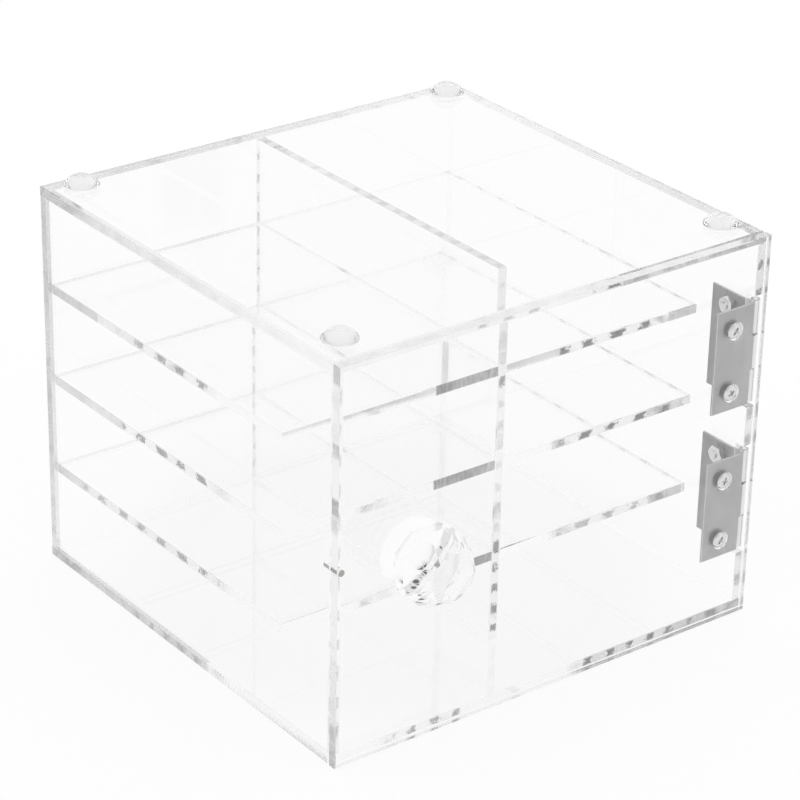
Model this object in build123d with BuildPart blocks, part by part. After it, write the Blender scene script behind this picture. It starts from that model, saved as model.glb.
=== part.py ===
from build123d import *
from math import atan2, cos, degrees, radians, sin
import os

os.makedirs("parts", exist_ok=True)

# A clear acrylic storage box for eyelash trays: two columns of open compartments behind one hinged door.
# Frame: the origin is the centre of the carcass underside and +Z is up.
# The door faces -Y and hangs on the +X side. All sizes are in millimetres.

# Carcass
width = 150.0
height = 121.0
carcass_depth = 142.5
sheet = 3.0
tiers = 4
tier_height = 26.3
shelf_setback = 23.4
edge_ease = 0.25

# Door
door_gap = 0.6

# Butt hinges
hinge_length = 32.0
hinge_spacing = 47.8
leaf_thickness = 0.6
wall_leaf_reach = 15.2
door_leaf_reach = 16.1
barrel_diameter = 2.8
barrel_clearance = 0.6
pin_diameter = 1.4
pin_inset = 1.2
pin_running_fit = 0.05
pin_tight_fit = 0.02
knuckle_gap = 0.5
leaf_relief = 0.7
notch_clearance = 0.4
notch_end_clearance = 1.6

# Hinge screws and nuts
wall_screw_reach = 7.7
wall_screw_pitch = 23.8
wall_screw_length = 6.0
door_screw_reach = 10.2
door_screw_pitch = 19.5
door_screw_length = 5.0
door_screw_sink = 1.1
screw_diameter = 2.4
screw_head_diameter = 5.0
screw_head_height = 0.8
counterbore_clearance = 0.3
screw_clearance = 0.15
nut_across_flats = 5.0
nut_height = 2.0
thread_fit = 0.05
recess_width = 0.6
recess_depth = 0.5

# Knob
knob_inset = 24.0
knob_length = 19.0
foot_radius = 10.1
foot_thickness = 1.3
waist_radius = 8.3
waist_rise = 4.2
girdle_radius = 11.0
girdle_rise = 8.0
girdle_height = 3.5
table_radius = 7.2
facets = 8
table_trim = 0.3
star_lean = 11.0
break_relief = 0.3
break_lean = 9.0

# Catch magnets
magnet_diameter = 2.0
magnet_length = 3.0
magnet_fit = 0.05

# Bumper pads on the top face
bumper_diameter = 10.5
bumper_height = 3.2
bumper_left_inset = 10.6
bumper_right_inset = 6.4
bumper_front_inset = 10.8
bumper_back_inset = 5.7

# Places worked out from the sizes above
left_x = -width / 2
right_x = width / 2
front_y = -carcass_depth / 2
back_y = carcass_depth / 2
middle_z = height / 2
inner_left = left_x + sheet
inner_right = right_x - sheet
inner_back = back_y - sheet
inner_top = height - sheet
shelf_front = front_y + shelf_setback
door_back = front_y - door_gap
door_front = door_back - sheet
shelf_levels = [sheet + tier_height + n * (tier_height + sheet) for n in range(tiers - 1)]

barrel_radius = barrel_diameter / 2
pin_x = right_x - pin_inset
pin_y = door_back + barrel_clearance + barrel_radius
hinge_levels = {
    "lower": middle_z - hinge_spacing / 2,
    "upper": middle_z + hinge_spacing / 2,
}
wall_screw_levels = [z + side * wall_screw_pitch / 2 for z in hinge_levels.values() for side in (-1, 1)]
door_screw_levels = [z + side * door_screw_pitch / 2 for z in hinge_levels.values() for side in (-1, 1)]
wall_screw_seats = [
    Plane(origin=(right_x, pin_y + wall_screw_reach, z), x_dir=(0, 1, 0), z_dir=(1, 0, 0))
    for z in wall_screw_levels
]
door_screw_seats = [
    Plane(origin=(pin_x - door_screw_reach, door_front, z), x_dir=(1, 0, 0), z_dir=(0, -1, 0))
    for z in door_screw_levels
]
screw_hole_radius = screw_diameter / 2 + screw_clearance
notch_back = pin_y + barrel_radius + notch_clearance
notch_length = hinge_length + 2 * notch_end_clearance
knuckle_length = (hinge_length - 2 * knuckle_gap) / 3
knob_x = left_x + knob_inset
magnet_x = left_x + sheet / 2


def finish(part, name):
    """Label a finished piece and write its file."""
    part.label = name
    export_step(part, f"parts/{name}.step")


# Bottom and top panels: full footprint, laid over the wall ends
with BuildPart() as bottom_panel:
    with BuildSketch(Plane.XY):
        Rectangle(width, carcass_depth)
    extrude(amount=sheet)
    chamfer(bottom_panel.faces().sort_by(Axis.Z)[0].edges(), edge_ease)
finish(bottom_panel.part, "bottom_panel")

with BuildPart() as top_panel:
    with BuildSketch(Plane.XY.offset(inner_top)):
        Rectangle(width, carcass_depth)
    extrude(amount=sheet)
    chamfer(top_panel.faces().sort_by(Axis.Z)[-1].edges(), edge_ease)
finish(top_panel.part, "top_panel")

# Back panel: full width, standing between the bottom and the top
with BuildPart() as back_panel:
    with BuildSketch(Plane.XZ.offset(-back_y)):
        with Locations((0, middle_z)):
            Rectangle(width, inner_top - sheet)
    extrude(amount=sheet)
    chamfer(back_panel.faces().sort_by(Axis.Y)[-1].edges().filter_by(Axis.Z), edge_ease)
finish(back_panel.part, "back_panel")


def wall_outline():
    """Side wall outline, drawn on a YZ plane: from the front edge to the back panel."""
    with Locations(((front_y + inner_back) / 2, middle_z)):
        Rectangle(inner_back - front_y, inner_top - sheet)


# Left wall, with a blind bore for the catch magnet in its front edge
with BuildPart() as left_wall:
    with BuildSketch(Plane.YZ.offset(left_x)):
        wall_outline()
    extrude(amount=sheet)
    with Locations(Plane(origin=(magnet_x, front_y, middle_z), z_dir=(0, -1, 0))):
        Hole(radius=magnet_diameter / 2 + magnet_fit, depth=magnet_length)
finish(left_wall.part, "left_wall")

# Right wall, notched at the front edge for the two hinge barrels and drilled for the leaf screws
with BuildPart() as right_wall:
    with BuildSketch(Plane.YZ.offset(inner_right)):
        wall_outline()
        with Locations(*[(front_y, level) for level in hinge_levels.values()]):
            Rectangle(
                notch_back - front_y, notch_length,
                align=(Align.MIN, Align.CENTER), mode=Mode.SUBTRACT,
            )
    extrude(amount=sheet)
    with Locations(*wall_screw_seats):
        Hole(radius=screw_hole_radius, depth=sheet)
finish(right_wall.part, "right_wall")

# Centre divider: full inner height, standing back from the door with the shelves
with BuildPart() as centre_divider:
    with BuildSketch(Plane.YZ.offset(-sheet / 2)):
        with Locations(((shelf_front + inner_back) / 2, middle_z)):
            Rectangle(inner_back - shelf_front, inner_top - sheet)
    extrude(amount=sheet)
    chamfer(centre_divider.faces().sort_by(Axis.Y)[0].edges().filter_by(Axis.Z), edge_ease)
finish(centre_divider.part, "centre_divider")

# Shelves: one column each side of the divider, numbered from the bottom up
shelf_spans = {
    "left": (inner_left, -sheet / 2),
    "right": (sheet / 2, inner_right),
}
for side, (shelf_start, shelf_end) in shelf_spans.items():
    for number, level in enumerate(shelf_levels, start=1):
        with BuildPart() as shelf:
            with BuildSketch(Plane.XY.offset(level)):
                with Locations(((shelf_start + shelf_end) / 2, (shelf_front + inner_back) / 2)):
                    Rectangle(shelf_end - shelf_start, inner_back - shelf_front)
            extrude(amount=sheet)
            chamfer(shelf.faces().sort_by(Axis.Y)[0].edges().filter_by(Axis.X), edge_ease)
        finish(shelf.part, f"{side}_shelf_{number}")

# Door: one sheet over the whole front, counterbored for the hinge screws and drilled for the catch magnet
with BuildPart() as door:
    with BuildSketch(Plane.XZ.offset(-door_back)):
        with Locations((0, middle_z)):
            Rectangle(width, height)
        with Locations((magnet_x, middle_z)):
            Circle(magnet_diameter / 2 + magnet_fit, mode=Mode.SUBTRACT)
    extrude(amount=sheet)
    with Locations(*door_screw_seats):
        CounterBoreHole(
            radius=screw_hole_radius,
            counter_bore_radius=screw_head_diameter / 2 + counterbore_clearance,
            counter_bore_depth=door_screw_sink,
            depth=sheet,
        )
    door_faces = door.faces().filter_by(Axis.Y)
    chamfer([edge for face in door_faces for edge in face.outer_wire().edges()], edge_ease)
finish(door.part, "door")

# Catch: a rod magnet through the door and one in the left wall's front edge, face to face across the gap
magnet_starts = {"door_magnet": door_back - magnet_length, "wall_magnet": front_y}
for name, start in magnet_starts.items():
    with BuildPart() as magnet:
        with BuildSketch(Plane.XZ.offset(-start)):
            with Locations((magnet_x, middle_z)):
                Circle(magnet_diameter / 2)
        extrude(amount=-magnet_length)
    finish(magnet.part, name)


# Hinges: a wall leaf with the two end knuckles, a door leaf with the middle one, and a plain pin
knuckle_room = barrel_radius + leaf_relief
wall_bend_y = pin_y + barrel_radius + notch_clearance / 2
for name, level in hinge_levels.items():
    hinge_plane = Plane.XY.offset(level - hinge_length / 2)
    middle_room = knuckle_length + 2 * knuckle_gap
    end_levels = [level + side * (knuckle_length + knuckle_gap) for side in (-1, 1)]

    # The wall leaf lies on the wall's inner face and bends outward to its knuckles in the notch
    with BuildPart() as wall_leaf:
        with BuildSketch(hinge_plane):
            with BuildLine():
                Polyline(
                    (inner_right, pin_y + wall_leaf_reach),
                    (inner_right, wall_bend_y),
                    (pin_x - barrel_radius + leaf_thickness, pin_y),
                    (pin_x - barrel_radius, pin_y),
                    (inner_right - leaf_thickness, wall_bend_y),
                    (inner_right - leaf_thickness, pin_y + wall_leaf_reach),
                    close=True,
                )
            make_face()
            with Locations((pin_x, pin_y)):
                Circle(barrel_radius)
                Circle(pin_diameter / 2 + pin_tight_fit, mode=Mode.SUBTRACT)
        extrude(amount=hinge_length)
        with BuildSketch(Plane.XZ.offset(-(pin_y + knuckle_room))):
            with Locations((pin_x, level)):
                Rectangle(2 * wall_leaf_reach, middle_room)
        extrude(amount=wall_leaf_reach, mode=Mode.SUBTRACT)
        with Locations(*[seat.offset(-sheet) for seat in wall_screw_seats]):
            Hole(radius=screw_hole_radius, depth=leaf_thickness)
    finish(wall_leaf.part, f"{name}_hinge_wall_leaf")

    # The door leaf lies on the door's inner face and curls back into its one knuckle
    with BuildPart() as door_leaf:
        with BuildSketch(hinge_plane):
            with BuildLine():
                Polyline(
                    (pin_x - door_leaf_reach, door_back),
                    (pin_x - barrel_radius, door_back),
                    (pin_x, pin_y - barrel_radius),
                    (pin_x, pin_y - barrel_radius + leaf_thickness),
                    (pin_x - barrel_radius, door_back + leaf_thickness),
                    (pin_x - door_leaf_reach, door_back + leaf_thickness),
                    close=True,
                )
            make_face()
            with Locations((pin_x, pin_y)):
                Circle(barrel_radius)
                Circle(pin_diameter / 2 + pin_running_fit, mode=Mode.SUBTRACT)
        extrude(amount=hinge_length)
        with BuildSketch(Plane.YZ.offset(pin_x - knuckle_room)):
            with Locations(*[(pin_y, end_level) for end_level in end_levels]):
                Rectangle(2 * door_leaf_reach, knuckle_length + 2 * knuckle_gap)
        extrude(amount=door_leaf_reach, mode=Mode.SUBTRACT)
        with Locations(*[seat.offset(-sheet) for seat in door_screw_seats]):
            Hole(radius=screw_hole_radius, depth=leaf_thickness)
    finish(door_leaf.part, f"{name}_hinge_door_leaf")

    # The pin is pressed in flush with the end knuckles
    with BuildPart() as hinge_pin:
        with BuildSketch(hinge_plane):
            with Locations((pin_x, pin_y)):
                Circle(pin_diameter / 2)
        extrude(amount=hinge_length)
    finish(hinge_pin.part, f"{name}_hinge_pin")


def machine_screw(head_diameter, head_height, shank_diameter, length):
    """Machine screw standing on its seat at the origin, head up, with a cross recess."""
    with BuildPart() as screw:
        with BuildSketch(Plane.XY):
            Circle(head_diameter / 2)
        extrude(amount=head_height)
        with BuildSketch(Plane.XY):
            Circle(shank_diameter / 2)
        extrude(amount=-length)
        with BuildSketch(Plane.XY.offset(head_height - recess_depth)):
            Rectangle(head_diameter / 2, recess_width)
            Rectangle(recess_width, head_diameter / 2)
        extrude(amount=recess_depth, mode=Mode.SUBTRACT)
    return screw.part


def hex_nut():
    """Hexagon nut hanging from its seat at the origin."""
    with BuildPart() as nut:
        with BuildSketch(Plane.XY):
            RegularPolygon(nut_across_flats / 2, 6, major_radius=False)
            Circle(screw_diameter / 2 + thread_fit, mode=Mode.SUBTRACT)
        extrude(amount=-nut_height)
    return nut.part


# Hinge fasteners: low heads, sunk in the door's face and plain on the wall, with nuts inside on the leaves
door_screw = machine_screw(screw_head_diameter, screw_head_height, screw_diameter, door_screw_length)
wall_screw = machine_screw(screw_head_diameter, screw_head_height, screw_diameter, wall_screw_length)
hinge_nut = hex_nut()
grip = sheet + leaf_thickness
fastener_sets = {
    "door_screws": (door_screw, [seat.offset(-door_screw_sink) for seat in door_screw_seats]),
    "door_nuts": (hinge_nut, [seat.offset(-grip) for seat in door_screw_seats]),
    "wall_screws": (wall_screw, wall_screw_seats),
    "wall_nuts": (hinge_nut, [seat.offset(-grip) for seat in wall_screw_seats]),
}
for name, (fastener, seats) in fastener_sets.items():
    with BuildPart() as fasteners:
        with Locations(*seats):
            add(fastener)
    finish(fasteners.part, name)

# Knob: a faceted clear stone on a round foot, cemented square to the door
knob_plane = Plane(origin=(knob_x, door_front, middle_z), x_dir=(1, 0, 0), z_dir=(0, -1, 0))
knob_side = Plane(origin=knob_plane.origin, x_dir=(1, 0, 0), z_dir=(0, 0, -1))
crown_rise = girdle_rise + girdle_height
crown_tilt = degrees(atan2(girdle_radius - table_radius, knob_length - crown_rise))
pavilion_tilt = -degrees(atan2(girdle_radius - waist_radius, girdle_rise - waist_rise))
half_index = 180 / facets
corner_stretch = 1 / cos(radians(half_index))


def facet_plane(index_angle, radius, rise, tilt):
    """Cutting plane at this radius and rise, turned to the index and tilted towards the table."""
    outward = knob_plane.z_dir
    radial = knob_plane.x_dir.rotate(Axis((0, 0, 0), outward), index_angle)
    contact = knob_plane.origin + radial * radius + outward * rise
    return Plane(origin=contact, z_dir=radial * cos(radians(tilt)) + outward * sin(radians(tilt)))


# Eight main facets on crown, girdle and pavilion, with a break facet across each corner
with BuildPart() as knob:
    with BuildSketch(knob_plane.offset(waist_rise)):
        Circle(girdle_radius * corner_stretch)
    extrude(amount=knob_length - waist_rise)
    for index in range(facets):
        main_angle = index * 360 / facets
        break_angle = main_angle + half_index
        cuts = [
            facet_plane(main_angle, girdle_radius, girdle_rise, 0),
            facet_plane(main_angle, girdle_radius, crown_rise, crown_tilt),
            facet_plane(main_angle, girdle_radius, girdle_rise, pavilion_tilt),
            facet_plane(break_angle, table_radius - table_trim, knob_length, crown_tilt + star_lean),
            facet_plane(break_angle, girdle_radius + break_relief, crown_rise, crown_tilt - break_lean),
            facet_plane(break_angle, girdle_radius + break_relief, girdle_rise, pavilion_tilt + break_lean),
        ]
        for cut in cuts:
            split(bisect_by=cut, keep=Keep.BOTTOM)

    # The foot and the waist are turned under the stone
    with BuildSketch(knob_side):
        with BuildLine():
            Polyline(
                (0, waist_rise),
                (0, 0),
                (foot_radius, 0),
                (foot_radius, foot_thickness),
                (waist_radius, waist_rise),
                close=True,
            )
        make_face()
    revolve(axis=Axis(knob_plane.origin, knob_plane.z_dir))
finish(knob.part, "knob")

# Bumper pads: one domed pad near each corner of the top face, placed by hand on the real box
bumper_radius = bumper_diameter / 2
bumper_dome = (bumper_radius ** 2 + bumper_height ** 2) / (2 * bumper_height)
bumper_spots = [
    (bumper_x, bumper_y)
    for bumper_x in (left_x + bumper_left_inset, right_x - bumper_right_inset)
    for bumper_y in (front_y + bumper_front_inset, back_y - bumper_back_inset)
]
with BuildPart() as bumper:
    with BuildSketch(Plane.XZ):
        with BuildLine():
            Polyline((0, bumper_height), (0, 0), (bumper_radius, 0))
            RadiusArc((bumper_radius, 0), (0, bumper_height), -bumper_dome)
        make_face()
    revolve(axis=Axis.Z)
with BuildPart() as bumpers:
    with Locations(*[(bumper_x, bumper_y, height) for bumper_x, bumper_y in bumper_spots]):
        add(bumper.part)
finish(bumpers.part, "bumpers")
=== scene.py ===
import math

import bmesh
import bpy
from mathutils import Matrix, Vector


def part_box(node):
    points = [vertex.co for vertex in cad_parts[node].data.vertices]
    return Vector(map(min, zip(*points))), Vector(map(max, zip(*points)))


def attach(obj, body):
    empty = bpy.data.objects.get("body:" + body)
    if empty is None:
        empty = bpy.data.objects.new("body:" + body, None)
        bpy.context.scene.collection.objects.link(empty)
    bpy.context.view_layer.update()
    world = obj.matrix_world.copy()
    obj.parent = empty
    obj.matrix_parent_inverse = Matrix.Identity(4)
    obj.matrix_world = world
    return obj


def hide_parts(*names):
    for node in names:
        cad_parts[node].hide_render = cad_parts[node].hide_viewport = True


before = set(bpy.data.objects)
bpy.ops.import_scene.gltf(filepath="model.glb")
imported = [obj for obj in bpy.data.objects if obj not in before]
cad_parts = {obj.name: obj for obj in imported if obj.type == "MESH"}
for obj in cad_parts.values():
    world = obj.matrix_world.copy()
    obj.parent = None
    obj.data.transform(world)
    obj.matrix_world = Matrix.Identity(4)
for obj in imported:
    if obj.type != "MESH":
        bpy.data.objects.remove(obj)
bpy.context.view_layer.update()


# Bottom and top panels. 3 mm clear cast acrylic (PMMA), sawn to size: the two broad faces keep the cast
# polish, and the cut edges are left as the saw and the cement left them, frosted with darker tooth marks.
# Their grey and clear stretches are also painted shade and reflection: grey where an edge shows dark things
# through it, clear where it shows white.
# They are laid over the ends of the walls and cemented with solvent.

CEMENT_LINE = 0.00003  # metres off each outer face, so that no two cemented faces lie in one plane
SAME_PLACE = 1e-6  # metres within which two points are one


def linear(hex_colour):
    """An sRGB hex colour as linear RGBA."""
    channels = [int(hex_colour[i:i + 2], 16) / 255 for i in (1, 3, 5)]
    return (*[c / 12.92 if c <= 0.04045 else ((c + 0.055) / 1.055) ** 2.4 for c in channels], 1.0)


def node(tree, kind, values=None, links=None, **settings):
    """Add one node with its settings, its input values and its incoming links."""
    made = tree.nodes.new(kind)
    for name, value in settings.items():
        setattr(made, name, value)
    for socket, value in (values or {}).items():
        made.inputs[socket].default_value = value
    for socket, source in (links or {}).items():
        tree.links.new(source, made.inputs[socket])
    return made


def new_material(name):
    """A material with an empty tree."""
    material = bpy.data.materials.new(name)
    material.use_nodes = True
    material.node_tree.nodes.clear()
    return material, material.node_tree


def clear_output(tree, shader, straight_on):
    """Show shader, but let a ray straight on that has crossed ten faces or been turned back inside a
    sheet three times, so that a view through many sheets and along them stays as clear as in life. After
    seven such faces it goes back to shader, which uses up the ray's other crossings."""
    most_crossed, most_turned_back, most_straight = 9.5, 2.5, 6.5
    path = node(tree, "ShaderNodeLightPath").outputs
    crossed = node(
        tree, "ShaderNodeMath", {1: most_crossed}, {0: path["Transmission Depth"]}, operation="GREATER_THAN"
    )
    turned_back = node(
        tree, "ShaderNodeMath", {1: most_turned_back}, {0: path["Glossy Depth"]}, operation="GREATER_THAN"
    )
    deep = node(
        tree, "ShaderNodeMath", links={0: crossed.outputs[0], 1: turned_back.outputs[0]},
        operation="MAXIMUM",
    )
    early = node(
        tree, "ShaderNodeMath", {1: most_straight}, {0: path["Transparent Depth"]}, operation="LESS_THAN"
    )
    let_on = node(
        tree, "ShaderNodeMath", links={0: deep.outputs[0], 1: early.outputs[0]}, operation="MULTIPLY"
    )
    mix = node(
        tree, "ShaderNodeMixShader",
        links={0: let_on.outputs[0], 1: shader.outputs[0], 2: straight_on.outputs[0]},
    )
    node(tree, "ShaderNodeOutputMaterial", links={"Surface": mix.outputs[0]})


# Cast acrylic, IOR 1.49. The casting leaves the faces very slightly wavy and handling leaves faint hazy
# wipes, so the roughness drifts between polished and barely hazed.
clear_acrylic, tree = new_material("clear_cast_acrylic")
place = node(tree, "ShaderNodeTexCoord").outputs["Object"]
wipes = node(tree, "ShaderNodeTexNoise", {"Scale": 38.0, "Detail": 3.0, "Roughness": 0.6}, {"Vector": place})
haze = node(
    tree, "ShaderNodeMapRange", {"From Min": 0.35, "From Max": 0.75, "To Min": 0.004, "To Max": 0.03},
    {"Value": wipes.outputs["Fac"]},
)
casting = node(tree, "ShaderNodeTexNoise", {"Scale": 22.0, "Detail": 1.0}, {"Vector": place})
waviness = node(
    tree, "ShaderNodeBump", {"Strength": 0.05, "Distance": 0.0004}, {"Height": casting.outputs["Fac"]}
)
sheet_shader = node(
    tree, "ShaderNodeBsdfPrincipled",
    {"Base Color": linear("#FEFEFE"), "IOR": 1.49, "Transmission Weight": 1.0},
    {"Roughness": haze.outputs[0], "Normal": waviness.outputs["Normal"]},
)
straight_on = node(tree, "ShaderNodeBsdfTransparent", {"Color": linear("#FEFEFE")})
clear_output(tree, sheet_shader, straight_on)

# Sawn acrylic edge. The blade leaves blotchy grey marks 6 to 10 mm apart along the middle of the cut, and
# slanted lines between them. A dry edge is grey, and one that the cement or a flame has wetted is clear. The
# stops along each edge also paint shade and reflection into it: grey with strong marks where it shows dark
# things through it, clear where it shows white. cut_mm is the place along and across the cut, frost how dry
# it is and how much painted shade it carries, tooth how strong its marks are, and pitch their spacing. Math
# nodes with no operation named add.
sawn_edge, tree = new_material("sawn_acrylic_edge")
cut = node(tree, "ShaderNodeUVMap", uv_map="cut_mm").outputs["UV"]
place = node(tree, "ShaderNodeTexCoord").outputs["Object"]
frost_and_shade = node(tree, "ShaderNodeAttribute", attribute_name="frost_and_shade", attribute_type="GEOMETRY").outputs["Fac"]
tooth = node(tree, "ShaderNodeAttribute", attribute_name="tooth", attribute_type="GEOMETRY").outputs["Fac"]
across_cut = node(tree, "ShaderNodeSeparateXYZ", links={0: cut})
wander = node(tree, "ShaderNodeTexNoise", {"Scale": 55.0, "Detail": 1.0}, {"Vector": place})
drift = node(tree, "ShaderNodeMath", {1: 3.0}, {0: wander.outputs["Fac"]}, operation="MULTIPLY")
pitch = node(tree, "ShaderNodeAttribute", attribute_name="pitch", attribute_type="GEOMETRY").outputs["Fac"]
beat_place = node(tree, "ShaderNodeMath", links={0: across_cut.outputs["X"], 1: drift.outputs[0]})
teeth = node(tree, "ShaderNodeMath", links={0: beat_place.outputs[0], 1: pitch}, operation="DIVIDE")
turn = node(tree, "ShaderNodeMath", {1: 2 * math.pi}, {0: teeth.outputs[0]}, operation="MULTIPLY")
beat = node(tree, "ShaderNodeMath", links={0: turn.outputs[0]}, operation="SINE")
blots = node(
    tree, "ShaderNodeTexNoise", {"Scale": 700.0, "Detail": 2.0, "Roughness": 0.55}, {"Vector": place}
)
blot_push = node(tree, "ShaderNodeMath", {1: 3.2}, {0: blots.outputs["Fac"]}, operation="MULTIPLY")
uneven = node(tree, "ShaderNodeTexNoise", {"Scale": 130.0, "Detail": 0.0}, {"Vector": place})
uneven_push = node(tree, "ShaderNodeMath", {1: 1.6}, {0: uneven.outputs["Fac"]}, operation="MULTIPLY")
push = node(tree, "ShaderNodeMath", links={0: blot_push.outputs[0], 1: uneven_push.outputs[0]})
mark = node(tree, "ShaderNodeMath", links={0: beat.outputs[0], 1: push.outputs[0]})
mark_edge = node(
    tree, "ShaderNodeMapRange", {"From Min": 2.3, "From Max": 3.2}, {"Value": mark.outputs[0]},
    interpolation_type="SMOOTHSTEP",
)
off_middle = node(tree, "ShaderNodeMath", links={0: across_cut.outputs["Y"]}, operation="ABSOLUTE")
middle_band = node(
    tree, "ShaderNodeMapRange", {"From Min": 0.7, "From Max": 1.4, "To Min": 1.0, "To Max": 0.0},
    {"Value": off_middle.outputs[0]}, interpolation_type="SMOOTHSTEP",
)
tooth_band = node(tree, "ShaderNodeMath", links={0: middle_band.outputs[0], 1: tooth}, operation="MULTIPLY")
marks = node(
    tree, "ShaderNodeMath", links={0: mark_edge.outputs[0], 1: tooth_band.outputs[0]}, operation="MULTIPLY"
)
slant = node(
    tree, "ShaderNodeMapping", {"Rotation": (0.0, 0.0, 0.8), "Scale": (1.0, 0.2, 1.0)}, {"Vector": cut}
)
lines = node(
    tree, "ShaderNodeTexNoise", {"Scale": 1.0, "Detail": 3.0, "Roughness": 0.7}, {"Vector": slant.outputs[0]}
)
patches = node(tree, "ShaderNodeTexNoise", {"Scale": 90.0, "Detail": 2.0}, {"Vector": place})
streaks = node(tree, "ShaderNodeMath", links={0: lines.outputs["Fac"], 1: patches.outputs["Fac"]})
dry_grey = node(
    tree, "ShaderNodeMapRange", {"From Min": 0.85, "From Max": 1.15}, {"Value": streaks.outputs[0]},
)
dry_colour = node(
    tree, "ShaderNodeMix", {"A": linear("#4F5051"), "B": linear("#A9AAAA")},
    {"Factor": dry_grey.outputs[0]}, data_type="RGBA",
)
# Clear where frost is low, grey where high: the cut's own frost and painted shade and reflection.
frost_and_shade_colour = node(
    tree, "ShaderNodeMix", {"A": linear("#FEFEFE")}, {"Factor": frost_and_shade, "B": dry_colour.outputs["Result"]},
    data_type="RGBA",
)
edge_colour = node(
    tree, "ShaderNodeMix", {"B": linear("#7E7F80")},
    {"Factor": marks.outputs[0], "A": frost_and_shade_colour.outputs["Result"]}, data_type="RGBA",
)
see_through = node(
    tree, "ShaderNodeMapRange", {"To Min": 1.0, "To Max": 0.3}, {"Value": marks.outputs[0]}
)
edge_rough = node(tree, "ShaderNodeMapRange", {"To Min": 0.05, "To Max": 0.45}, {"Value": frost_and_shade})
grooves = node(
    tree, "ShaderNodeBump", {"Strength": 0.5, "Distance": 0.00008}, {"Height": lines.outputs["Fac"]}
)
edge_shader = node(
    tree, "ShaderNodeBsdfPrincipled", {"IOR": 1.49},
    {
        "Base Color": edge_colour.outputs["Result"], "Roughness": edge_rough.outputs[0],
        "Transmission Weight": see_through.outputs[0], "Normal": grooves.outputs["Normal"],
    },
)
pale_edge = node(tree, "ShaderNodeBsdfTransparent", links={"Color": edge_colour.outputs["Result"]})
clear_output(tree, edge_shader, pale_edge)


def along_stops(stops, place):
    """Read (place, frost, tooth) stops, straight between them; frost also holds painted shade."""
    if place <= stops[0][0]:
        return stops[0][1:]
    for (start, *low), (end, *high) in zip(stops, stops[1:]):
        if place <= end:
            share = (place - start) / (end - start)
            return tuple(a + (b - a) * share for a, b in zip(low, high))
    return stops[-1][1:]


def sheet_piece(name, body, thickness, edges, pitch=9.2):
    """An acrylic sheet from its CAD node: the same outline, a hair short at its cemented faces.

    edges gives the (place in mm, frost, tooth marks) stops along each cut edge by its outward side,
    such as "-Y". Frost is how dry the edge is and also its painted shade and reflection: grey where it shows
    dark things through it, clear where it shows white. Places are along the edge, in the part's frame. pitch
    is the spacing of the tooth marks in mm. Holes and notches are cut clear."""
    clear_cut, inside_rim = [(0, 0.06, 0.0)], 0.0005
    lowest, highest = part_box(name)
    work = bmesh.new()
    work.from_mesh(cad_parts[name].data)
    bmesh.ops.remove_doubles(work, verts=work.verts, dist=SAME_PLACE)
    bmesh.ops.dissolve_limit(work, angle_limit=0.01, verts=work.verts, edges=work.edges)
    for vertex in work.verts:
        for axis in range(3):
            if vertex.co[axis] - lowest[axis] < SAME_PLACE:
                vertex.co[axis] += CEMENT_LINE
            elif highest[axis] - vertex.co[axis] < SAME_PLACE:
                vertex.co[axis] -= CEMENT_LINE
    for side, stops in edges.items():
        length = ({0, 1, 2} - {thickness, "XYZ".index(side[1])}).pop()
        for place, *_ in stops:
            spot, normal = Vector(), Vector()
            spot[length], normal[length] = place / 1000, 1.0
            bmesh.ops.bisect_plane(
                work, geom=work.verts[:] + work.edges[:] + work.faces[:], plane_co=spot, plane_no=normal
            )
    cut_mm = work.loops.layers.uv.new("cut_mm")
    frost_and_shade_layer = work.loops.layers.float.new("frost_and_shade")
    tooth_layer = work.loops.layers.float.new("tooth")
    pitch_layer = work.loops.layers.float.new("pitch")
    across = Vector()
    across[thickness] = 1.0
    middle = (lowest + highest) / 2
    for face in work.faces:
        face.material_index = 0 if abs(face.normal.dot(across)) > 0.9 else 1
        if face.material_index:
            flat = face.normal - across * face.normal.dot(across)
            outward = max(range(3), key=lambda axis: abs(flat[axis]))
            length = ({0, 1, 2} - {thickness, outward}).pop()
            side = ("-" if flat[outward] < 0 else "+") + "XYZ"[outward]
            rim = (lowest if flat[outward] < 0 else highest)[outward]
            drilled = abs(face.calc_center_median()[outward] - rim) > inside_rim
            stops = clear_cut if drilled else edges[side]
            for loop in face.loops:
                along_mm = loop.vert.co[length] * 1000
                loop[cut_mm].uv = (along_mm, (loop.vert.co[thickness] - middle[thickness]) * 1000)
                loop[frost_and_shade_layer], loop[tooth_layer] = along_stops(stops, along_mm)
                loop[pitch_layer] = pitch
    mesh = bpy.data.meshes.new(name + "_sheet")
    work.to_mesh(mesh)
    work.free()
    mesh.materials.append(clear_acrylic)
    mesh.materials.append(sawn_edge)
    piece = bpy.data.objects.new(name + "_sheet", mesh)
    bpy.context.scene.collection.objects.link(piece)
    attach(piece, body)
    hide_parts(name)


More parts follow.
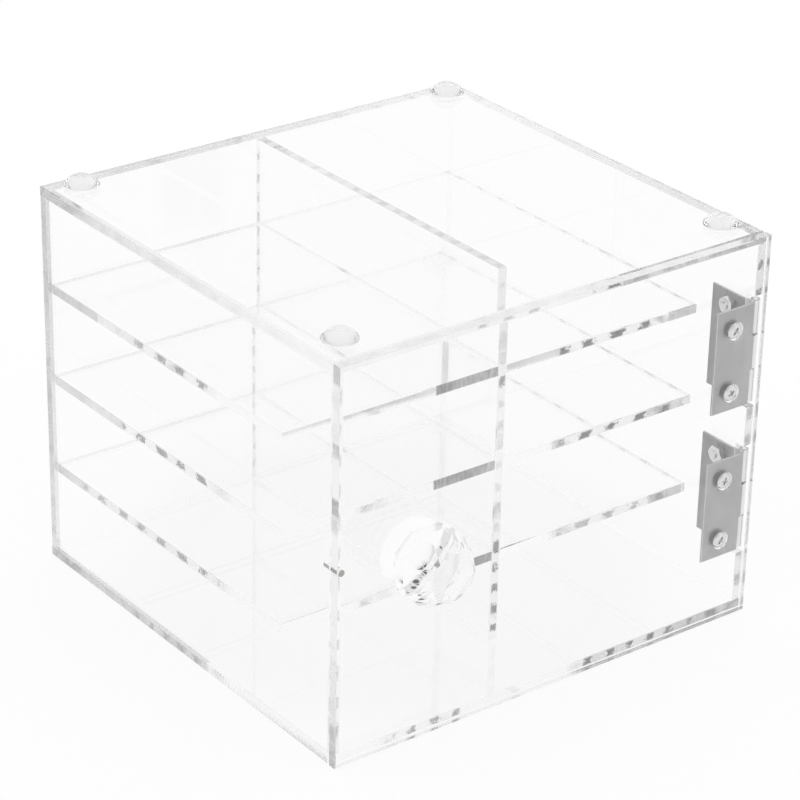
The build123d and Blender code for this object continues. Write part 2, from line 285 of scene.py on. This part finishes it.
X, Y, Z = 0, 1, 2
sheet_piece("bottom_panel", "cabinet", Z, {
    "-Y": [
        (-54, 0.05, 0.0), (-53, 0.1, 0.7), (-31, 0.1, 0.7), (-30, 0.05, 0.0), (14, 0.05, 0.0),
        (15, 0.5, 1.0), (40, 0.55, 1.0), (62, 0.75, 0.6), (75, 0.8, 0.3),
    ],
    "-X": [(-14, 0.05, 0.0), (-12, 0.6, 0.5), (23, 0.6, 0.5), (26, 0.65, 0.1), (71, 0.7, 0.05)],
    "+Y": [(0, 0.5, 0.3)],
    "+X": [(0, 0.5, 0.3)],
}, pitch=7.9)
sheet_piece("top_panel", "cabinet", Z, {
    "-Y": [
        (-34, 0.2, 0.0), (-33, 0.2, 0.5), (-8, 0.2, 0.5), (-7, 0.2, 0.0), (11, 0.25, 0.0), (12, 0.3, 1.0),
        (21, 0.3, 1.0), (22, 0.8, 0.4), (75, 0.75, 0.3),
    ],
    "-X": [(-71, 0.15, 0.05), (0, 0.35, 0.1), (71, 0.55, 0.15)],
    "+Y": [(0, 0.4, 0.1)],
    "+X": [(0, 0.4, 0.2)],
})


# Back panel. The same 3 mm acrylic, full width, standing on the bottom panel between it and the top.
# Its two ends show as frosted bands at the back corners.

sheet_piece("back_panel", "cabinet", Y, {
    "-X": [(3, 0.5, 0.1), (118, 0.6, 0.1)], "+X": [(0, 0.45, 0.1)], "-Z": [(0, 0.15, 0.0)],
    "+Z": [(0, 0.15, 0.0)],
})


# Side walls. 3 mm acrylic between the bottom and the top. The left one is bored for the catch magnet, and
# the right one is notched for the hinge barrels and drilled for their screws. Their hidden joints are
# wetted by the cement, all but the left one's, which dried grey along the back and most of the bottom.
# That grey is also painted shade, as are the grey and marked stretches of their front edges.

wetted = {side: [(0, 0.12, 0.0)] for side in ("-X", "+X", "-Y", "+Y", "-Z", "+Z")}
sheet_piece("left_wall", "cabinet", X, wetted | {
    "-Y": [(3, 0.15, 0.5), (60, 0.08, 0.3), (118, 0.15, 0.3)],
    "+Y": [(3, 0.55, 0.0), (118, 0.65, 0.0)],
    "-Z": [(-14, 0.05, 0.0), (-12, 0.8, 0.0), (68, 0.9, 0.0)],
    "+Z": [(-68, 0.15, 0.0), (68, 0.35, 0.0)],
})
sheet_piece("right_wall", "cabinet", X, wetted | {
    "-Y": [(3, 0.3, 0.5), (94, 0.3, 0.6), (100, 0.4, 0.9), (118, 0.4, 0.9)],
})


# Centre divider and shelves. 3 mm acrylic strips cemented edge to face, all standing back from the door.
# The solvent has run along part of each joint and cleared it, and the dry stretches stay grey. Those
# stretches also paint reflection and shade: clear where an edge shows white, grey with strong marks where it
# shows dark things through it.

sheet_piece("centre_divider", "cabinet", X, wetted | {
    "-Y": [
        (3, 0.15, 0.9), (36, 0.15, 0.9), (38, 0.1, 0.2), (83, 0.15, 0.3), (85, 0.2, 0.8), (89, 0.2, 0.8),
        (92, 0.3, 0.2), (118, 0.35, 0.2),
    ],
    "+Y": [(0, 0.15, 0.7)],
    "+Z": [(0, 0.3, 0.3)],
}, pitch=6.6)
left_joints = {
    1: [(-18, 0.05, 0.0), (-17, 0.2, 0.9), (52, 0.35, 0.6), (55, 0.5, 0.05), (68, 0.6, 0.05)],
    2: [(-18, 0.05, 0.0), (-17, 0.15, 0.9), (30, 0.15, 0.9), (33, 0.5, 0.05), (68, 0.5, 0.05)],
    3: [
        (-17, 0.05, 0.0), (-16, 0.2, 0.9), (20, 0.2, 0.8), (26, 0.3, 0.2), (43, 0.3, 0.1), (44, 0.8, 0.05),
        (68, 0.6, 0.05),
    ],
}
right_fronts = {
    1: [
        (22, 0.0, 0.0), (23, 0.2, 0.5), (50, 0.25, 0.7), (57, 0.3, 0.4), (58, 0.7, 0.5), (70, 0.7, 0.4),
        (71, 0.3, 0.0),
    ],
    2: [
        (19, 0.0, 0.0), (20, 0.5, 0.2), (25, 0.2, 1.0), (53, 0.2, 1.0), (56, 0.5, 0.9), (68, 0.5, 0.9),
        (69, 0.4, 0.0),
    ],
    3: [
        (20, 0.0, 0.0), (21, 0.2, 1.0), (56, 0.2, 1.0), (58, 0.1, 0.2), (61, 0.1, 0.0), (61.5, 0.65, 0.0),
        (71, 0.65, 0.0),
    ],
}
for number in (1, 2, 3):
    sheet_piece(f"left_shelf_{number}", "cabinet", Z, wetted | {
        "-X": left_joints[number], "-Y": [(-23.5, 0.04, 0.0), (-23, 1.0, 0.15), (-2, 0.9, 0.1)],
    }, pitch=10.4)
    sheet_piece(f"right_shelf_{number}", "cabinet", Z, wetted | {
        "-Y": right_fronts[number], "+X": [(0, 0.3, 0.4)],
    }, pitch=10.2)


# Door. One 3 mm acrylic sheet over the whole front, counterbored for the hinge screws and drilled for the
# magnet. The drill leaves its walls clear.

# The edge stops also paint shade and reflection: grey where an edge shows dark things, clear where white.
sheet_piece("door", "door", Y, {
    "-X": [
        (2, 0.65, 0.3), (13, 0.6, 0.3), (14, 0.4, 0.1), (30, 0.35, 0.1), (33, 0.55, 0.1), (36, 0.3, 0.1),
        (66, 0.2, 0.0), (71, 0.2, 0.0), (73, 0.5, 0.3), (77, 0.5, 0.3), (78, 0.95, 0.1), (82, 0.95, 0.1),
        (83, 0.25, 0.0), (94, 0.25, 0.0), (95, 0.7, 0.0), (98, 0.7, 0.0), (99, 0.3, 0.1), (115, 0.3, 0.1),
        (116, 0.65, 0.1), (121, 0.65, 0.1),
    ],
    "+X": [(0, 0.4, 0.1)],
    "-Z": [(8, 0.2, 0.0), (12, 0.9, 0.0), (75, 0.9, 0.0)],
    "+Z": [(0, 0.3, 0.1)],
})


# Hinge leaves and pins. Stamped steel sheet 0.6 mm thick, rolled to knuckles round a steel pin. The flats
# keep the dull satin of the strip, and tumbling has rounded and smoothed the knuckles and the edges. Their
# lighter colour is a painted highlight.

satin_steel, tree = new_material("satin_stamped_steel")
place = node(tree, "ShaderNodeTexCoord").outputs["Object"]
strip = node(tree, "ShaderNodeMapping", {"Scale": (900.0, 900.0, 60.0)}, {"Vector": place})
grain = node(tree, "ShaderNodeTexNoise", {"Scale": 1.0, "Detail": 3.0}, {"Vector": strip.outputs[0]})
cloud = node(tree, "ShaderNodeTexNoise", {"Scale": 90.0, "Detail": 2.0}, {"Vector": place})
flat_colour = node(
    tree, "ShaderNodeMix", {"A": linear("#C0C0C1"), "B": linear("#D8D8D8")},
    {"Factor": cloud.outputs["Fac"]}, data_type="RGBA",
)
tumbled_and_highlit = node(
    tree, "ShaderNodeAttribute", attribute_name="tumbled_and_highlit", attribute_type="GEOMETRY"
).outputs["Fac"]
# The knuckles and edges are painted lighter than the flats: a painted highlight.
steel_colour = node(
    tree, "ShaderNodeMix", {"B": linear("#EEEEEE")}, {"Factor": tumbled_and_highlit, "A": flat_colour.outputs["Result"]},
    data_type="RGBA",
)
flat_rough = node(
    tree, "ShaderNodeMapRange", {"To Min": 0.48, "To Max": 0.62}, {"Value": grain.outputs["Fac"]}
)
steel_rough = node(
    tree, "ShaderNodeMix", {"B": 0.3}, {"Factor": tumbled_and_highlit, "A": flat_rough.outputs[0]}, data_type="FLOAT"
)
steel_bump = node(
    tree, "ShaderNodeBump", {"Strength": 0.25, "Distance": 0.00002}, {"Height": grain.outputs["Fac"]}
)
steel_shader = node(
    tree, "ShaderNodeBsdfPrincipled", {"Metallic": 1.0},
    {
        "Base Color": steel_colour.outputs["Result"], "Roughness": steel_rough.outputs[0],
        "Normal": steel_bump.outputs["Normal"],
    },
)
node(tree, "ShaderNodeOutputMaterial", links={"Surface": steel_shader.outputs[0]})


def eased_piece(name, body, ease, finish):
    """A CAD node's own shape with its sharp edges rounded by ease, in metres. Its broad flat faces keep
    their finish, and the rest is marked as tumbled, which the satin steel also paints with a highlight."""
    square_on, broad = 0.999, 2e-6
    work = bmesh.new()
    work.from_mesh(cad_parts[name].data)
    bmesh.ops.remove_doubles(work, verts=work.verts, dist=SAME_PLACE)
    bmesh.ops.dissolve_limit(work, angle_limit=0.005, verts=work.verts, edges=work.edges)
    mesh = bpy.data.meshes.new(name + "_eased")
    work.to_mesh(mesh)
    work.free()
    piece = bpy.data.objects.new(name + "_eased", mesh)
    bpy.context.scene.collection.objects.link(piece)
    rounding = piece.modifiers.new("rounding", "BEVEL")
    rounding.width = ease
    rounding.segments = 2
    rounding.limit_method = "ANGLE"
    rounding.angle_limit = math.radians(20)
    finished = bpy.data.meshes.new_from_object(piece.evaluated_get(bpy.context.evaluated_depsgraph_get()))
    piece.modifiers.clear()
    piece.data = finished
    finished.shade_smooth()
    finished.set_sharp_from_angle(angle=math.radians(18))
    finished.materials.clear()
    finished.materials.append(finish)
    tumbled_and_highlit = finished.attributes.new("tumbled_and_highlit", "FLOAT", "FACE")
    for face, shine in zip(finished.polygons, tumbled_and_highlit.data):
        flat = max(abs(along) for along in face.normal) >= square_on and face.area >= broad
        shine.value = 0.0 if flat else 1.0
    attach(piece, body)
    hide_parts(name)


HINGE_EASE = 0.00008
for level in ("lower", "upper"):
    eased_piece(f"{level}_hinge_wall_leaf", "cabinet", HINGE_EASE, satin_steel)
    eased_piece(f"{level}_hinge_door_leaf", "door", HINGE_EASE, satin_steel)
    eased_piece(f"{level}_hinge_pin", "cabinet", HINGE_EASE, satin_steel)


# Hinge screws and nuts. M2.5 machine screws with low cross recess heads and hexagon nuts, turned and
# cold headed, then bright zinc plated: they mirror sharply, through a faint mottle.

THREAD_RADIUS, THREAD_PITCH, THREAD_DEPTH = 0.0012, 0.00045, 0.00027
HEAD_HEIGHT, HEAD_RIM, HEAD_FULLNESS = 0.0012, 0.0003, 0.7  # a fullness of 1 would be a round dome
RECESS_SPAN, RECESS_WIDTH, RECESS_DEPTH, RECESS_TAPER = 0.003, 0.0008, 0.0007, 0.6
DOOR_HEAD_RADIUS, DOOR_SCREW_LENGTH = 0.00255, 0.005
WALL_HEAD_RADIUS, WALL_SCREW_LENGTH = 0.0025, 0.006
NUT_HALF_FLATS, NUT_BORE_RADIUS, NUT_HEIGHT = 0.0025, 0.00125, 0.002
CAD_HEAD = 0.0008  # the plain head of the CAD screws, whose inner face is the seat

zinc_plate, tree = new_material("bright_zinc_plate")
place = node(tree, "ShaderNodeTexCoord").outputs["Object"]
mottle = node(tree, "ShaderNodeTexNoise", {"Scale": 1400.0, "Detail": 2.0}, {"Vector": place})
zinc_colour = node(
    tree, "ShaderNodeMix", {"A": linear("#D0D1D2"), "B": linear("#EAEAEA")},
    {"Factor": mottle.outputs["Fac"]}, data_type="RGBA",
)
zinc_rough = node(
    tree, "ShaderNodeMapRange", {"To Min": 0.12, "To Max": 0.26}, {"Value": mottle.outputs["Fac"]}
)
zinc_shader = node(
    tree, "ShaderNodeBsdfPrincipled", {"Metallic": 1.0},
    {"Base Color": zinc_colour.outputs["Result"], "Roughness": zinc_rough.outputs[0]},
)
node(tree, "ShaderNodeOutputMaterial", links={"Surface": zinc_shader.outputs[0]})


def turned_mesh(name, rings, around, bored=False):
    """A closed mesh of rings round the Z axis. Each ring gives its radius and height at an angle."""
    work = bmesh.new()
    loops = []
    for ring in rings:
        loop = []
        for step in range(around):
            angle = 2 * math.pi * step / around
            radius, height = ring(angle)
            loop.append(work.verts.new((radius * math.cos(angle), radius * math.sin(angle), height)))
        loops.append(loop)
    for low, high in zip(loops, loops[1:] + (loops[:1] if bored else [])):
        for step in range(around):
            after = (step + 1) % around
            work.faces.new((low[step], low[after], high[after], high[step]))
    if not bored:
        work.faces.new(loops[-1])
        work.faces.new(loops[0][::-1])
    mesh = bpy.data.meshes.new(name)
    work.to_mesh(mesh)
    work.free()
    return mesh


def plain_ring(radius, height):
    """A round ring at one height."""
    return lambda angle: (radius, height)


def thread_ring(height):
    """A ring on the shank's right hand thread."""
    def ring(angle):
        crest = (height / THREAD_PITCH + angle / (2 * math.pi)) % 1.0
        return THREAD_RADIUS - THREAD_DEPTH * abs(2 * crest - 1), height
    return ring


def screw_object(name, head_radius, length):
    """A machine screw with its seat at the origin and its head up, cross recessed."""
    rings = [plain_ring(THREAD_RADIUS - 2 * THREAD_PITCH / 3, -length)]
    quarter_turns = round(4 * length / THREAD_PITCH)
    rings += [
        thread_ring(-length + THREAD_PITCH / 2 + step * THREAD_PITCH / 4)
        for step in range(quarter_turns - 2)
    ]
    rings += [
        plain_ring(THREAD_RADIUS, 0.0), plain_ring(head_radius - HEAD_RIM / 4, 0.0),
        plain_ring(head_radius, HEAD_RIM / 4), plain_ring(head_radius, 0.8 * HEAD_RIM),
    ]
    dome_steps = 6
    for step in range(1, dome_steps):
        lean = step / dome_steps * math.pi / 2
        height = HEAD_RIM + (HEAD_HEIGHT - HEAD_RIM) * math.sin(lean)
        rings.append(plain_ring(head_radius * math.cos(lean) ** HEAD_FULLNESS, height))
    blank = bpy.data.objects.new(name, turned_mesh(name, rings, 32))
    bpy.context.scene.collection.objects.link(blank)
    cutter_mesh = bmesh.new()
    for long_side, short_side in ((RECESS_SPAN, RECESS_WIDTH), (RECESS_WIDTH, RECESS_SPAN)):
        made = bmesh.ops.create_cube(cutter_mesh, size=1.0)["verts"]
        for vertex in made:
            taper = 1.0 if vertex.co.z > 0 else RECESS_TAPER
            vertex.co.x *= long_side * taper
            vertex.co.y *= short_side * taper
            vertex.co.z = HEAD_HEIGHT + (RECESS_DEPTH if vertex.co.z > 0 else -RECESS_DEPTH)
    mesh = bpy.data.meshes.new(name + "_recess")
    cutter_mesh.to_mesh(mesh)
    cutter_mesh.free()
    cutter = bpy.data.objects.new(name + "_recess", mesh)
    bpy.context.scene.collection.objects.link(cutter)
    recessing = blank.modifiers.new("recess", "BOOLEAN")
    recessing.operation = "DIFFERENCE"
    recessing.object = cutter
    recessing.solver = "EXACT"
    recessing.use_self = True
    cut = bpy.data.meshes.new_from_object(blank.evaluated_get(bpy.context.evaluated_depsgraph_get()))
    blank.modifiers.clear()
    blank.data = cut
    bpy.data.objects.remove(cutter)
    cut.shade_smooth()
    cut.set_sharp_from_angle(angle=math.radians(28))
    return blank


def nut_object(name, half_flats, bore, height):
    """A hexagon nut on its seat at the origin, its corners turned down at both faces."""
    face_circle = 0.96 * half_flats

    def hexagon(angle):
        return half_flats / math.cos((angle + math.pi / 6) % (math.pi / 3) - math.pi / 6)

    def corner(angle):
        return (hexagon(angle) - face_circle) * math.tan(math.radians(30))

    rings = [
        plain_ring(bore, height), plain_ring(bore, 0.0), plain_ring(face_circle, 0.0),
        lambda angle: (hexagon(angle), corner(angle)),
        lambda angle: (hexagon(angle), height - corner(angle)), plain_ring(face_circle, height),
    ]
    mesh = turned_mesh(name, rings, 48, bored=True)
    mesh.shade_smooth()
    mesh.set_sharp_from_angle(angle=math.radians(20))
    nut = bpy.data.objects.new(name, mesh)
    bpy.context.scene.collection.objects.link(nut)
    return nut


def solids(name):
    """The lowest and highest corner of each separate solid in a CAD node."""
    work = bmesh.new()
    work.from_mesh(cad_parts[name].data)
    bmesh.ops.remove_doubles(work, verts=work.verts, dist=SAME_PLACE)
    waiting, boxes = set(work.verts), []
    while waiting:
        front = [waiting.pop()]
        solid = []
        while front:
            vertex = front.pop()
            solid.append(vertex.co.copy())
            for edge in vertex.link_edges:
                other = edge.other_vert(vertex)
                if other in waiting:
                    waiting.remove(other)
                    front.append(other)
        boxes.append(tuple(
            Vector([pick(co[axis] for co in solid) for axis in range(3)]) for pick in (min, max)
        ))
    work.free()
    return sorted(boxes, key=lambda box: box[0][2])


# One copy of a piece on each seat point, its +Z along Facing and turned at random about it, as fixings are
# left when they are driven home.
copies = bpy.data.node_groups.new("copies_on_seats", "GeometryNodeTree")
for socket, kind, way in (
    ("Seats", "NodeSocketGeometry", "INPUT"), ("Piece", "NodeSocketObject", "INPUT"),
    ("Facing", "NodeSocketVector", "INPUT"), ("Turn Seed", "NodeSocketInt", "INPUT"),
    ("Finish", "NodeSocketMaterial", "INPUT"), ("Mesh", "NodeSocketGeometry", "OUTPUT"),
):
    copies.interface.new_socket(socket, in_out=way, socket_type=kind)
given = node(copies, "NodeGroupInput").outputs
shape = node(copies, "GeometryNodeObjectInfo", links={"Object": given["Piece"]})
faced = node(copies, "FunctionNodeAlignRotationToVector", links={"Vector": given["Facing"]}, axis="Z")
any_turn = node(
    copies, "FunctionNodeRandomValue", {2: 0.0, 3: 2 * math.pi}, {8: given["Turn Seed"]}, data_type="FLOAT"
)
own_turn = node(
    copies, "FunctionNodeAxisAngleToRotation", {"Axis": (0.0, 0.0, 1.0)}, {"Angle": any_turn.outputs[1]}
)
turned = node(
    copies, "FunctionNodeRotateRotation", links={0: faced.outputs[0], 1: own_turn.outputs[0]},
    rotation_space="LOCAL",
)
set_down = node(
    copies, "GeometryNodeInstanceOnPoints",
    links={"Points": given["Seats"], "Instance": shape.outputs["Geometry"], "Rotation": turned.outputs[0]},
)
made_real = node(copies, "GeometryNodeRealizeInstances", links={"Geometry": set_down.outputs[0]})
finished = node(
    copies, "GeometryNodeSetMaterial", links={"Geometry": made_real.outputs[0], "Material": given["Finish"]}
)
node(copies, "NodeGroupOutput", links={"Mesh": finished.outputs[0]})


def on_seats(name, body, seats, piece, facing, seed, finish):
    """Copies of a piece on their seats, in place of the CAD node of that name."""
    mesh = bpy.data.meshes.new(name + "_seats")
    mesh.from_pydata(seats, [], [])
    placed = bpy.data.objects.new(name + "_finished", mesh)
    bpy.context.scene.collection.objects.link(placed)
    copying = placed.modifiers.new("copies", "NODES")
    copying.node_group = copies
    sockets = {item.name: item.identifier for item in copies.interface.items_tree if item.in_out == "INPUT"}
    copying[sockets["Piece"]] = piece
    copying[sockets["Facing"]] = facing
    copying[sockets["Turn Seed"]] = seed
    copying[sockets["Finish"]] = finish
    whole = bpy.data.meshes.new_from_object(placed.evaluated_get(bpy.context.evaluated_depsgraph_get()))
    placed.modifiers.clear()
    placed.data = whole
    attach(placed, body)
    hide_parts(name)


door_screw = screw_object("door_screw", DOOR_HEAD_RADIUS, DOOR_SCREW_LENGTH)
wall_screw = screw_object("wall_screw", WALL_HEAD_RADIUS, WALL_SCREW_LENGTH)
hinge_nut = nut_object("hinge_nut", NUT_HALF_FLATS, NUT_BORE_RADIUS, NUT_HEIGHT)
door_screw_seat, wall_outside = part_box("door_screws")[0][Y] + CAD_HEAD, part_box("right_wall")[1][X]
door_leaf_face, wall_leaf_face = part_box("door_nuts")[0][Y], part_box("wall_nuts")[1][X]
door_seats = [(low + high) / 2 for low, high in solids("door_screws")]
wall_seats = [(low + high) / 2 for low, high in solids("wall_screws")]
on_seats(
    "door_screws", "door", [(seat.x, door_screw_seat, seat.z) for seat in door_seats], door_screw,
    (0.0, -1.0, 0.0), 3, zinc_plate,
)
on_seats(
    "door_nuts", "door", [(seat.x, door_leaf_face, seat.z) for seat in door_seats], hinge_nut,
    (0.0, 1.0, 0.0), 4, zinc_plate,
)
on_seats(
    "wall_screws", "cabinet", [(wall_outside, seat.y, seat.z) for seat in wall_seats], wall_screw,
    (1.0, 0.0, 0.0), 5, zinc_plate,
)
on_seats(
    "wall_nuts", "cabinet", [(wall_leaf_face, seat.y, seat.z) for seat in wall_seats], hinge_nut,
    (-1.0, 0.0, 0.0), 6, zinc_plate,
)
for blank in (door_screw, wall_screw, hinge_nut):
    bpy.data.objects.remove(blank)


# Catch magnets. Two small nickel plated rods with broken edges, one pushed through the door and one into
# the left wall's front edge, face to face across the gap.

nickel_plate, tree = new_material("bright_nickel_plate")
place = node(tree, "ShaderNodeTexCoord").outputs["Object"]
stain = node(tree, "ShaderNodeTexNoise", {"Scale": 900.0, "Detail": 2.0}, {"Vector": place})
nickel_colour = node(
    tree, "ShaderNodeMix", {"A": linear("#9C9A96"), "B": linear("#BDBBB7")},
    {"Factor": stain.outputs["Fac"]}, data_type="RGBA",
)
nickel_rough = node(
    tree, "ShaderNodeMapRange", {"To Min": 0.2, "To Max": 0.36}, {"Value": stain.outputs["Fac"]}
)
nickel_shader = node(
    tree, "ShaderNodeBsdfPrincipled", {"Metallic": 1.0},
    {"Base Color": nickel_colour.outputs["Result"], "Roughness": nickel_rough.outputs[0]},
)
node(tree, "ShaderNodeOutputMaterial", links={"Surface": nickel_shader.outputs[0]})
MAGNET_EASE = 0.00015
eased_piece("door_magnet", "door", MAGNET_EASE, nickel_plate)
eased_piece("wall_magnet", "cabinet", MAGNET_EASE, nickel_plate)


# Knob. A moulded clear acrylic stone with polished facets on a round foot, its edges very slightly
# rounded by polishing, cemented square to the door.

crystal, tree = new_material("clear_moulded_crystal")
place = node(tree, "ShaderNodeTexCoord").outputs["Object"]
flow = node(tree, "ShaderNodeTexNoise", {"Scale": 160.0, "Detail": 2.0}, {"Vector": place})
crystal_haze = node(
    tree, "ShaderNodeMapRange", {"From Min": 0.4, "From Max": 0.8, "To Max": 0.03},
    {"Value": flow.outputs["Fac"]},
)
crystal_shader = node(
    tree, "ShaderNodeBsdfPrincipled",
    {"Base Color": linear("#FDFDFD"), "IOR": 1.49, "Transmission Weight": 1.0},
    {"Roughness": crystal_haze.outputs[0]},
)
straight_on = node(tree, "ShaderNodeBsdfTransparent", {"Color": linear("#FEFEFE")})
clear_output(tree, crystal_shader, straight_on)
KNOB_EASE = 0.00012
eased_piece("knob", "door", KNOB_EASE, crystal)


# Bumper pads. Clear soft polyurethane domes, cast and stuck on: slightly milky, with a smooth skin.

clear_pad, tree = new_material("clear_soft_polyurethane")
place = node(tree, "ShaderNodeTexCoord").outputs["Object"]
milk = node(tree, "ShaderNodeTexNoise", {"Scale": 500.0, "Detail": 2.0}, {"Vector": place})
pad_colour = node(
    tree, "ShaderNodeMix", {"A": linear("#FAFAFA"), "B": linear("#FFFFFF")},
    {"Factor": milk.outputs["Fac"]}, data_type="RGBA",
)
pad_rough = node(
    tree, "ShaderNodeMapRange", {"To Min": 0.08, "To Max": 0.16}, {"Value": milk.outputs["Fac"]}
)
pad_shader = node(
    tree, "ShaderNodeBsdfPrincipled", {"IOR": 1.35, "Transmission Weight": 0.9},
    {"Base Color": pad_colour.outputs["Result"], "Roughness": pad_rough.outputs[0]},
)
pad_through = node(tree, "ShaderNodeBsdfTransparent", links={"Color": pad_colour.outputs["Result"]})
clear_output(tree, pad_shader, pad_through)

PAD_TUCK = 0.0002  # how far the stuck face ends inside the pad's rim
PAD_STEPS = 16
pads = solids("bumpers")
pad_low, pad_high = pads[0]
pad_radius, pad_height = (pad_high.x - pad_low.x) / 2, pad_high.z - pad_low.z
dome_radius = (pad_radius ** 2 + pad_height ** 2) / (2 * pad_height)
rim_lean = math.asin(pad_radius / dome_radius)
pad_rings = [plain_ring(pad_radius - PAD_TUCK, CEMENT_LINE)]
for step in range(PAD_STEPS):
    lean = rim_lean * (1 - step / PAD_STEPS)
    height = pad_height - dome_radius * (1 - math.cos(lean))
    pad_rings.append(plain_ring(dome_radius * math.sin(lean), max(height, 2 * CEMENT_LINE)))
pad_mesh = turned_mesh("bumper_pad", pad_rings, 48)
pad_mesh.shade_smooth()
bumper_pad = bpy.data.objects.new("bumper_pad", pad_mesh)
bpy.context.scene.collection.objects.link(bumper_pad)
pad_seats = [((low.x + high.x) / 2, (low.y + high.y) / 2, low.z) for low, high in pads]
on_seats("bumpers", "cabinet", pad_seats, bumper_pad, (0.0, 0.0, 1.0), 8, clear_pad)
bpy.data.objects.remove(bumper_pad)


# Studio. A plain white sweep under soft light from all round. Metal and clear pieces also mirror a slightly
# greyer region high behind the camera, with the dark camera in it.

FLOOR_GAP = 0.0002  # keeps the bottom panel's face off the floor's
SHADE_REACH = 0.085  # from the box's middle to its sides, about

floor_mesh = bpy.data.meshes.new("floor")
work = bmesh.new()
bmesh.ops.create_grid(work, x_segments=1, y_segments=1, size=6.0)
work.to_mesh(floor_mesh)
work.free()
floor_mesh.transform(Matrix.Translation((0.0, 0.0, -FLOOR_GAP)))
floor = bpy.data.objects.new("floor", floor_mesh)
bpy.context.scene.collection.objects.link(floor)

# The eye sees the floor nearly white with a faint shadow. Clear pieces show it with the soft shade that
# the box keeps on its own footprint, which light through so many sheets can't be traced for.
floor_paint, tree = new_material("white_floor")
path = node(tree, "ShaderNodeLightPath")
seen_through = node(
    tree, "ShaderNodeMath",
    links={0: path.outputs["Is Glossy Ray"], 1: path.outputs["Is Transmission Ray"]}, operation="MAXIMUM",
)
place = node(tree, "ShaderNodeTexCoord").outputs["Object"]
footprint = node(
    tree, "ShaderNodeMapping", {"Scale": (1 / SHADE_REACH, 1 / SHADE_REACH, 0.0)}, {"Vector": place}
)
reach = node(tree, "ShaderNodeVectorMath", links={0: footprint.outputs[0]}, operation="LENGTH")
shade = node(
    tree, "ShaderNodeMapRange", {"From Min": 0.7, "From Max": 1.35, "To Min": 0.94, "To Max": 1.0},
    {"Value": reach.outputs["Value"]}, interpolation_type="SMOOTHSTEP",
)
matt = node(tree, "ShaderNodeBsdfDiffuse", {"Color": linear("#FFFFFF")})
lit = node(tree, "ShaderNodeEmission", {"Color": linear("#FFFFFF"), "Strength": 1.0})
eye_floor = node(tree, "ShaderNodeMixShader", {0: 0.92}, {1: matt.outputs[0], 2: lit.outputs[0]})
plain_floor = node(
    tree, "ShaderNodeMixShader",
    links={0: path.outputs["Is Camera Ray"], 1: matt.outputs[0], 2: eye_floor.outputs[0]},
)
glow = node(tree, "ShaderNodeEmission", {"Color": linear("#FFFFFF")}, {"Strength": shade.outputs[0]})
floor_mix = node(
    tree, "ShaderNodeMixShader",
    links={0: seen_through.outputs[0], 1: plain_floor.outputs[0], 2: glow.outputs[0]},
)
node(tree, "ShaderNodeOutputMaterial", links={"Surface": floor_mix.outputs[0]})
floor_mesh.materials.append(floor_paint)

world = bpy.data.worlds.new("studio")
bpy.context.scene.world = world
world.use_nodes = True
tree = world.node_tree
tree.nodes.clear()
path = node(tree, "ShaderNodeLightPath")
mirrored = node(
    tree, "ShaderNodeMath",
    links={0: path.outputs["Is Glossy Ray"], 1: path.outputs["Is Transmission Ray"]}, operation="MAXIMUM",
)
way = node(tree, "ShaderNodeTexCoord").outputs["Generated"]
dim_side = node(
    tree, "ShaderNodeVectorMath", {1: Vector((-0.45, -0.75, 0.48)).normalized()}, {0: way},
    operation="DOT_PRODUCT",
)
dim_soft = node(
    tree, "ShaderNodeMapRange", {"From Min": 0.35, "From Max": 0.8, "To Min": 1.0, "To Max": 0.75},
    {"Value": dim_side.outputs["Value"]}, interpolation_type="SMOOTHSTEP",
)
to_camera = node(
    tree, "ShaderNodeVectorMath", {1: Vector((-0.4, -0.7, 0.6)).normalized()}, {0: way},
    operation="DOT_PRODUCT",
)
dark_camera = node(
    tree, "ShaderNodeMapRange", {"From Min": 0.989, "From Max": 0.995, "To Min": 1.0, "To Max": 0.1},
    {"Value": to_camera.outputs["Value"]},
)
room = node(
    tree, "ShaderNodeMath", links={0: dim_soft.outputs[0], 1: dark_camera.outputs[0]}, operation="MULTIPLY"
)
studio_level = node(
    tree, "ShaderNodeMix", {"A": 1.0}, {"Factor": mirrored.outputs[0], "B": room.outputs[0]},
    data_type="FLOAT",
)
sky = node(
    tree, "ShaderNodeBackground", {"Color": (1.0, 1.0, 1.0, 1.0)}, {"Strength": studio_level.outputs[0]}
)
node(tree, "ShaderNodeOutputWorld", links={"Surface": sky.outputs[0]})


# Camera. At the photograph's view: about 38 degrees round to the left and 26 degrees above the table.

camera_data = bpy.data.cameras.new("camera")
camera_data.sensor_width = 36.0
camera_data.lens = 141.04
camera = bpy.data.objects.new("camera", camera_data)
bpy.context.scene.collection.objects.link(camera)
camera_place = (-0.50014, -0.65168, 0.46724)
azimuth, elevation, roll = math.radians(-37.63), math.radians(26.36), 0.0217
back = Vector((
    math.sin(azimuth) * math.cos(elevation), -math.cos(azimuth) * math.cos(elevation), math.sin(elevation)
))
side = Vector((math.cos(azimuth), math.sin(azimuth), 0.0))
up = back.cross(side)
rolled_side = side * math.cos(roll) + up * math.sin(roll)
rolled_up = up * math.cos(roll) - side * math.sin(roll)
turned = Matrix((rolled_side, rolled_up, back)).transposed().to_4x4()
camera.matrix_world = Matrix.Translation(camera_place) @ turned
camera_data.clip_start, camera_data.clip_end = 0.01, 50.0
bpy.context.scene.camera = camera
bpy.context.scene.view_settings.view_transform = "Standard"
